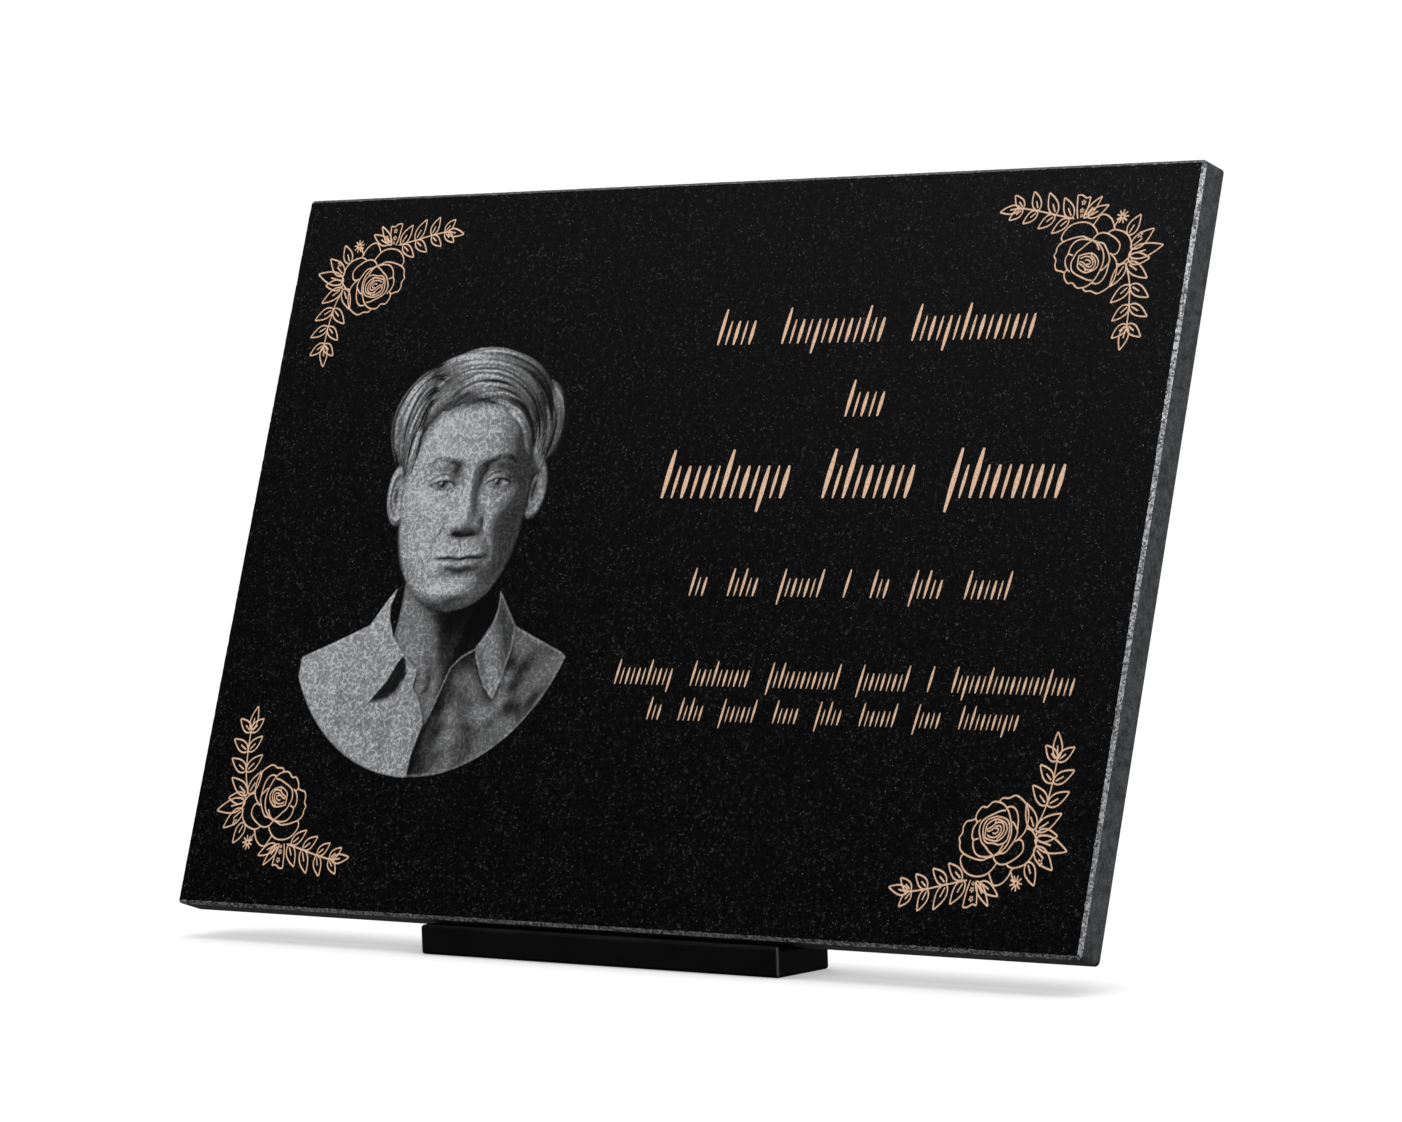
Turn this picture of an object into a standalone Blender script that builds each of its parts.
"""Memorial plaque: an engraved black granite slab that leans back on a black display stand.

The slab's own frame has x along its width, y up its polished face and z out of that face, with the
origin in the middle of the face's lower edge. The stand is modelled upright, front towards -Y.
Metres throughout, +Z up, origin on the table under the middle of the whole object.
"""

import math

import bmesh
import bpy
import numpy as np
from mathutils import Vector
from mathutils.geometry import delaunay_2d_cdt

MM = 0.001

# Granite slab
SLAB_WIDTH = 304.8 * MM
SLAB_HEIGHT = 203.2 * MM
SLAB_THICKNESS = 9.0 * MM
LEAN = math.radians(18.6)
FACE_ARRIS = 0.9 * MM
BACK_ARRIS = 0.5 * MM
CORNER_RADIUS = 1.3 * MM
CORNER_STEPS = 3
GROOVE_DEPTH = 0.3 * MM

# Height of the slab's front lower edge above the table
FRONT_RISE = 9.4 * MM

# Display stand: ledge, back rest, foot and the rib that stiffens them
LEDGE_WIDTH = 121.0 * MM
LEDGE_DEPTH = 21.0 * MM
LEDGE_HEIGHT = 7.9 * MM
LEDGE_REVEAL = 1.6 * MM
REST_WIDTH = 64.0 * MM
REST_LENGTH = 92.0 * MM
REST_THICKNESS = 5.0 * MM
FOOT_WIDTH = 15.0 * MM
FOOT_HEIGHT = 5.0 * MM
FOOT_REACH = 80.0 * MM
RIB_THICKNESS = 5.0 * MM
RIB_RISE = 66.0 * MM
REST_CORNER = 12.0 * MM
REST_CORNER_STEPS = 4
STAND_EDGE = 0.8 * MM
STAND_EDGE_STEPS = 2
SHARP_EDGE = math.radians(40.0)
SEAT_GAP = 0.3 * MM

# Corner sprays: the rose's place from the two nearest edges, and the width of an engraved line
ROSE_FROM_SIDE = 31.5 * MM
ROSE_FROM_TOP = 25.7 * MM
ROSE_FROM_FOOT = 30.4 * MM
LINE_WIDTH = 0.5 * MM
LOWER_SPRAY_STRETCH = 1.09

# Rose petals, back to front: first angle, last angle in degrees, and reach in mm
PETALS = (
    (88, 150, 12.6), (38, 100, 11.4), (120, 196, 13.0), (112, 178, 10.2),
    (-32, 82, 11.2), (138, 262, 9.3), (236, 342, 8.4),
    (-40, 70, 7.4), (40, 150, 6.6), (120, 235, 7.2), (205, 330, 6.2),
    (10, 165, 4.9), (140, 290, 4.6), (265, 400, 4.2),
)
PETAL_FLATNESS = 5.0
PETAL_SAMPLES = 180
PETAL_FACET = 4.7
HEART_RADIUS = 2.2
HEART_SWEEP = 420.0
HEART_FACETS = 5

# Sprigs of paired leaves that run from the rose along each edge, in mm from the rose's middle
STEMS = (
    ((6.4, 11.6), (12.0, 12.6), (17.8, 14.2), (24.2, 14.3)),
    ((-12.4, -1.2), (-14.2, -6.5), (-15.3, -12.0), (-15.2, -18.0)),
)
LEAF_PAIRS = (0.2, 0.55, 0.9)
LEAF_SPREAD = math.radians(46.0)
LEAF_STALK = 0.9
LEAF_LENGTH = 5.6
LEAF_WIDTH = 2.9

# Single leaves round the rose: foot, tip and width in mm
ROSE_LEAVES = (
    ((-13.6, 0.8), (-22.6, 3.6), 3.6), ((-13.2, 3.6), (-19.4, 8.0), 3.2),
    ((-11.0, 7.4), (-14.6, 11.8), 3.0), ((3.6, 11.6), (-3.9, 14.4), 3.0),
    ((4.2, 12.0), (1.6, 17.2), 2.6), ((5.0, 12.0), (9.8, 17.0), 3.0),
)

# Inscription: rows of strokes in a panel right of the slab's middle. A row has its two ends as
# shares of the panel's width, then its base line and a short stroke's height in mm
PANEL_FROM_MIDDLE = -9.0 * MM
PANEL_FROM_SIDE = 11.8 * MM
ROWS = (
    (0.100, 0.809, 157.5, 6.6), (0.411, 0.515, 137.5, 6.6), (0.033, 0.927, 115.7, 8.8),
    (0.134, 0.840, 89.4, 5.0), (0.000, 1.000, 65.3, 4.5), (0.087, 0.898, 56.0, 4.1),
)
# How many strokes stand in each group of a row
ROW_GROUPS = (
    (3, 7, 8), (3,), (7, 5, 6), (2, 3, 4, 1, 2, 3, 4), (6, 6, 7, 5, 1, 11), (2, 3, 4, 3, 3, 4, 3, 6),
)
GROUP_SPACE = 1.1

# Strokes as shares of a row's short stroke, and of the space between strokes for the bow
STROKE_WEIGHT = 0.19
STROKE_THIN = 0.75
STROKE_TAPER = 0.4
STROKE_LEAN = 0.16
STROKE_BOW = 0.16
STROKE_TALL = 1.5
STROKE_DROP = 0.42
TALL_EVERY = 5
DROP_EVERY = 7

# Strokes longer than this in mm have a facet more
STROKE_FINE_HEIGHT = 9.0

CUT_TOLERANCE = 0.01 * MM


def material(name, colour, roughness):
    """Principled material with one colour and gloss."""
    mat = bpy.data.materials.new(name)
    mat.use_nodes = True
    shader = mat.node_tree.nodes["Principled BSDF"]
    shader.inputs["Base Color"].default_value = (*colour, 1.0)
    shader.inputs["Roughness"].default_value = roughness
    shader.inputs["Metallic"].default_value = 0.0
    return mat


def add_object(name, mesh, mat):
    """Links a mesh to the scene under its piece's name."""
    obj = bpy.data.objects.new(name, mesh)
    bpy.context.scene.collection.objects.link(obj)
    mesh.materials.append(mat)
    return obj


def rounded_outline(inset):
    """Slab outline moved in by inset, anticlockwise from the lower right corner, one arc a corner."""
    radius = max(CORNER_RADIUS - inset, 0.1 * CORNER_RADIUS)
    half, low, high = SLAB_WIDTH / 2 - inset, inset, SLAB_HEIGHT - inset
    centres = [(half - radius, low + radius), (half - radius, high - radius)]
    centres += [(-x, y) for x, y in reversed(centres)]
    points = []
    for quarter, (x, y) in enumerate(centres):
        for step in range(CORNER_STEPS + 1):
            angle = (quarter - 1 + step / CORNER_STEPS) * math.pi / 2
            points.append((x + radius * math.cos(angle), y + radius * math.sin(angle)))
    return points


def ribbon(path, half_width, closed=False):
    """Quads that cover a line of the given half width, mitred at each point of its path."""
    path = np.asarray(path, float)
    if closed:
        ahead = np.roll(path, -1, axis=0) - np.roll(path, 1, axis=0)
    else:
        ahead = np.gradient(path, axis=0)
    ahead /= np.linalg.norm(ahead, axis=1)[:, None]
    across = np.stack([-ahead[:, 1], ahead[:, 0]], axis=1) * np.reshape(half_width, (-1, 1))
    left, right = path + across, path - across
    last = len(path) if closed else len(path) - 1
    ends = [(i, (i + 1) % len(path)) for i in range(last)]
    return [(tuple(right[i]), tuple(right[j]), tuple(left[j]), tuple(left[i])) for i, j in ends]


def resample(path, spacing):
    """Points a given distance apart along a path, its two ends kept."""
    steps = np.linalg.norm(np.diff(path, axis=0), axis=1)
    reach = np.concatenate([[0.0], np.cumsum(steps)])
    count = max(2, int(round(reach[-1] / spacing)) + 1)
    at = np.linspace(0.0, reach[-1], count)
    return np.stack([np.interp(at, reach, path[:, k]) for k in (0, 1)], axis=1)


def leaf(foot, tip, width):
    """Outline of a pointed leaf as a closed path: full near its foot, with a slender tip."""
    foot, tip = np.asarray(foot, float), np.asarray(tip, float)
    along = tip - foot
    across = np.array([-along[1], along[0]]) / np.linalg.norm(along) * width / 2
    shares = ((0.0, 0.0), (0.28, 0.95), (0.68, 0.8), (1.0, 0.0), (0.68, -0.8), (0.28, -0.95))
    return [foot + along * share + across * side for share, side in shares]


def petal_radius(petal, angle):
    """How far a petal reaches at an angle in degrees: a flat-topped dome over its span, else 0."""
    start, stop, reach = petal
    share = np.mod(angle - start, 360.0) / (stop - start)
    dome = np.clip(1.0 - np.abs(2.0 * share - 1.0) ** PETAL_FLATNESS, 0.0, 1.0) ** 0.5
    return np.where(share <= 1.0, reach * dome, 0.0)


def rose_paths():
    """Visible edges of the rose's petals in mm from its middle; a petal hides those behind it."""
    paths = []
    for place, petal in enumerate(PETALS):
        angle = np.linspace(petal[0], petal[1], PETAL_SAMPLES)
        radius = petal_radius(petal, angle)
        front = [petal_radius(other, angle) for other in PETALS[place + 1:]]
        seen = radius > np.max(front + [np.full(PETAL_SAMPLES, HEART_RADIUS)], axis=0)
        turn = np.radians(angle)
        points = np.stack([radius * np.cos(turn), radius * np.sin(turn)], axis=1)
        ends = np.flatnonzero(np.diff(np.concatenate([[0], seen.astype(int), [0]])))
        for first, last in zip(ends[::2], ends[1::2]):
            if last - first > PETAL_SAMPLES // 12:
                paths.append(resample(points[first:last], PETAL_FACET))
    turn = np.radians(np.linspace(0.0, HEART_SWEEP, HEART_FACETS + 1))
    radius = np.linspace(HEART_RADIUS, 0.5 * HEART_RADIUS, HEART_FACETS + 1)
    paths.append(np.stack([radius * np.cos(turn), radius * np.sin(turn)], axis=1))
    return paths


def sprig(stem):
    """Leaves in pairs along a stem, and one at its tip. The stem is a curve through its points."""
    stem = np.asarray(stem, float)
    knots = np.linspace(0.0, 1.0, len(stem))
    leaves = []
    for share in LEAF_PAIRS:
        foot, before = (np.array([np.interp(t, knots, stem[:, k]) for k in (0, 1)])
                        for t in (share, share - 0.15))
        heading = math.atan2(*(foot - before)[::-1])
        for side in (1, -1):
            turn = heading + side * LEAF_SPREAD
            out = np.array([math.cos(turn), math.sin(turn)])
            leaves.append(leaf(foot + LEAF_STALK * out, foot + LEAF_LENGTH * out, LEAF_WIDTH))
    ahead = (stem[-1] - stem[-2]) / np.linalg.norm(stem[-1] - stem[-2])
    leaves.append(leaf(stem[-1], stem[-1] + ahead * LEAF_LENGTH, LEAF_WIDTH))
    return leaves


def spray_quads():
    """Upper left corner spray in mm from the middle of its rose, +x to the right and +y up."""
    half = LINE_WIDTH / MM / 2
    quads = []
    for path in rose_paths():
        quads += ribbon(path, half)
    for stem in STEMS:
        quads += ribbon(stem, half)
        for outline in sprig(stem):
            quads += ribbon(outline, half, closed=True)
    for foot, tip, width in ROSE_LEAVES:
        quads += ribbon(leaf(foot, tip, width), half, closed=True)
    return quads


def spray_grooves():
    """The corner spray in all four corners, mirrored about the slab's middle lines."""
    quads = np.array(spray_quads()) * MM
    loops = []
    for side in (-1, 1):
        for upper in (True, False):
            centre_x = side * (SLAB_WIDTH / 2 - ROSE_FROM_SIDE)
            centre_y = SLAB_HEIGHT - ROSE_FROM_TOP if upper else ROSE_FROM_FOOT
            scale_x = 1.0 if side < 0 else -1.0
            scale_y = 1.0 if upper else -LOWER_SPRAY_STRETCH
            for quad in quads:
                loop = [(centre_x + scale_x * x, centre_y + scale_y * y) for x, y in quad]
                loops.append(loop if scale_x * scale_y > 0 else loop[::-1])
    return loops


def stroke(x, y, height, width, bow, facets):
    """One leaning stroke with a slight bow and tapered ends."""
    t = np.linspace(0.0, 1.0, facets + 1)
    across = x + height * STROKE_LEAN * t + bow * np.sin(np.pi * t)
    path = np.stack([across, y + height * t], axis=1)
    return ribbon(path, width / 2 * (STROKE_TAPER + (1.0 - STROKE_TAPER) * np.sin(np.pi * t)))


def inscription_grooves():
    """Rows of strokes in the inscription's place, grouped as its words are but never letters."""
    loops = []
    panel_left = PANEL_FROM_MIDDLE / MM
    panel_width = (SLAB_WIDTH / 2 - PANEL_FROM_SIDE - PANEL_FROM_MIDDLE) / MM
    for (left, right, base, height), groups in zip(ROWS, ROW_GROUPS):
        pitch = panel_width * (right - left) / (sum(groups) + GROUP_SPACE * (len(groups) - 1))
        x, order = panel_left + panel_width * left, 0
        for group in groups:
            for place in range(group):
                tall = place == 0 or order % TALL_EVERY == TALL_EVERY - 2
                drop = height * STROKE_DROP if order % DROP_EVERY == DROP_EVERY - 2 else 0.0
                rise = height * (STROKE_TALL if tall else 1.0)
                width = height * STROKE_WEIGHT * (1.0 if order % 2 else STROKE_THIN)
                facets = 3 if rise + drop > STROKE_FINE_HEIGHT else 2
                for quad in stroke(x, base - drop, rise + drop, width, pitch * STROKE_BOW, facets):
                    loops.append([(px * MM, py * MM) for px, py in quad])
                x += pitch
                order += 1
            x += GROUP_SPACE * pitch
    return loops


def slab_mesh():
    """Closed slab: engraved front, bevelled arrises, square sawn edges and a plain back."""
    outline = rounded_outline(FACE_ARRIS)
    grooves = spray_grooves() + inscription_grooves()
    points, loops = [], []
    for loop in [outline] + grooves:
        loops.append(list(range(len(points), len(points) + len(loop))))
        points += [Vector(p) for p in loop]
    flat, _, triangles, sources, _, owners = delaunay_2d_cdt(points, [], loops, 1, CUT_TOLERANCE)
    sunk = [any(owner > 0 for owner in own) for own in owners]

    bm = bmesh.new()
    top, floor = {}, {}
    for triangle, low in zip(triangles, sunk):
        level = floor if low else top
        for i in triangle:
            if i not in level:
                depth = -GROOVE_DEPTH if low else 0.0
                level[i] = bm.verts.new((flat[i].x, flat[i].y, depth))
        bm.faces.new([level[i] for i in triangle])

    # a wall stands wherever a sunk triangle meets a level one
    side_of = {}
    for triangle, low in zip(triangles, sunk):
        for k in range(3):
            side_of[triangle[k], triangle[(k + 1) % 3]] = low
    for (i, j), low in side_of.items():
        if low and side_of.get((j, i)) is False:
            bm.faces.new([floor[j], floor[i], top[i], top[j]])

    ring = [next(n for n, old in enumerate(sources) if i in old) for i in range(len(outline))]
    above = [top[i] for i in ring]
    for inset, depth in ((0.0, FACE_ARRIS), (0.0, SLAB_THICKNESS - BACK_ARRIS),
                         (BACK_ARRIS, SLAB_THICKNESS)):
        below = [bm.verts.new((x, y, -depth)) for x, y in rounded_outline(inset)]
        for i in range(len(above)):
            j = (i + 1) % len(above)
            bm.faces.new([above[i], below[i], below[j], above[j]])
        above = below
    bm.faces.new(above[::-1])
    bmesh.ops.recalc_face_normals(bm, faces=bm.faces)
    mesh = bpy.data.meshes.new("granite_slab")
    bm.to_mesh(mesh)
    bm.free()
    return mesh


def slab_point(along, out):
    """World Y and Z of a point of the slab's middle section: along the face, and out of it."""
    y = front_edge_y() + along * math.sin(LEAN) - out * math.cos(LEAN)
    z = FRONT_RISE + along * math.cos(LEAN) + out * math.sin(LEAN)
    return y, z


def front_edge_y():
    """World Y of the slab's front lower edge, with the whole object centred about the origin."""
    slab_rear = SLAB_HEIGHT * math.sin(LEAN) + SLAB_THICKNESS * math.cos(LEAN)
    return (LEDGE_REVEAL - max(FOOT_REACH, slab_rear)) / 2


def prism(name, near, far):
    """Closed prism between two like loops of points."""
    bm = bmesh.new()
    ends = [[bm.verts.new(point) for point in loop] for loop in (near, far)]
    bm.faces.new(ends[0][::-1])
    bm.faces.new(ends[1])
    for i in range(len(near)):
        j = (i + 1) % len(near)
        bm.faces.new([ends[0][i], ends[0][j], ends[1][j], ends[1][i]])
    bmesh.ops.recalc_face_normals(bm, faces=bm.faces)
    mesh = bpy.data.meshes.new(name)
    bm.to_mesh(mesh)
    bm.free()
    return mesh


def bar(name, section, width):
    """Prism across X from a Y-Z section."""
    return prism(name, *([(x, y, z) for y, z in section] for x in (-width / 2, width / 2)))


def rest_plate(near, far, sole):
    """Back rest: a plate along the slab's back, square below and round at its upper corners."""
    half, radius = REST_WIDTH / 2, REST_CORNER
    outline = [(-half, -sole), (half, -sole)]
    for side, first in ((1, 0.0), (-1, math.pi / 2)):
        for step in range(REST_CORNER_STEPS + 1):
            angle = first + step / REST_CORNER_STEPS * math.pi / 2
            outline.append((side * (half - radius) + radius * math.cos(angle),
                            REST_LENGTH - radius + radius * math.sin(angle)))
    return prism("rest", *([(x, *slab_point(along, out)) for x, along in outline]
                           for out in (near, far)))


def soften(mesh):
    """Rounds the sharp edges of a prism before it joins its neighbours."""
    bm = bmesh.new()
    bm.from_mesh(mesh)
    sharp = [edge for edge in bm.edges if edge.calc_face_angle() > SHARP_EDGE]
    bmesh.ops.bevel(bm, geom=sharp, offset=STAND_EDGE, segments=STAND_EDGE_STEPS, profile=0.5,
                    affect="EDGES", clamp_overlap=True)
    bm.to_mesh(mesh)
    bm.free()
    return mesh


def guide(name, mesh):
    """An object that only shapes the stand and isn't a piece."""
    obj = bpy.data.objects.new(name, mesh)
    bpy.context.scene.collection.objects.link(obj)
    obj.hide_render = True
    obj.display_type = "WIRE"
    return obj


def combine(obj, other, operation):
    """Adds or cuts one solid with another by an exact Boolean."""
    step = obj.modifiers.new(other.name, "BOOLEAN")
    step.operation = operation
    step.solver = "EXACT"
    step.object = other


def stand_object(mat):
    """The stand: one moulding, with a ledge that seats the slab's edge and a rest behind it."""
    front = front_edge_y() - LEDGE_REVEAL
    middle = front + LEDGE_DEPTH / 2
    ledge = [(front, 0.0), (front + LEDGE_DEPTH, 0.0), (front + LEDGE_DEPTH, LEDGE_HEIGHT),
             (front, LEDGE_HEIGHT)]
    obj = add_object("display_stand", soften(bar("ledge", ledge, LEDGE_WIDTH)), mat)

    near = -(SLAB_THICKNESS + SEAT_GAP)
    far = near - REST_THICKNESS
    sole = FRONT_RISE / math.cos(LEAN) / 2
    combine(obj, guide("rest_form", soften(rest_plate(near, far, sole))), "UNION")

    heel = front_edge_y() + FOOT_REACH
    foot = [(middle, 0.0), (heel, 0.0), (heel, FOOT_HEIGHT), (middle, FOOT_HEIGHT)]
    combine(obj, guide("foot_form", soften(bar("foot", foot, FOOT_WIDTH))), "UNION")

    rib = [(middle, FOOT_HEIGHT / 2), (heel - FOOT_WIDTH / 2, FOOT_HEIGHT / 2),
           slab_point(RIB_RISE, (near + far) / 2)]
    combine(obj, guide("rib_form", bar("rib", rib, RIB_THICKNESS)), "UNION")

    # the seat is the slab's own section grown by its clearance, and open to the front
    seat = [slab_point(-SEAT_GAP, SLAB_THICKNESS), slab_point(-SEAT_GAP, near),
            slab_point(SLAB_HEIGHT, near), slab_point(SLAB_HEIGHT, SLAB_THICKNESS)]
    combine(obj, guide("seat_cut", bar("seat", seat, SLAB_WIDTH)), "DIFFERENCE")


def build():
    for old in list(bpy.data.objects):
        bpy.data.objects.remove(old)
    granite = material("black_granite", (0.012, 0.012, 0.013), 0.22)
    plastic = material("black_moulding", (0.008, 0.008, 0.009), 0.35)
    slab = add_object("granite_slab", slab_mesh(), granite)
    slab.rotation_euler = (math.pi / 2 - LEAN, 0.0, 0.0)
    slab.location = (0.0, front_edge_y(), FRONT_RISE)
    stand_object(plastic)


build()
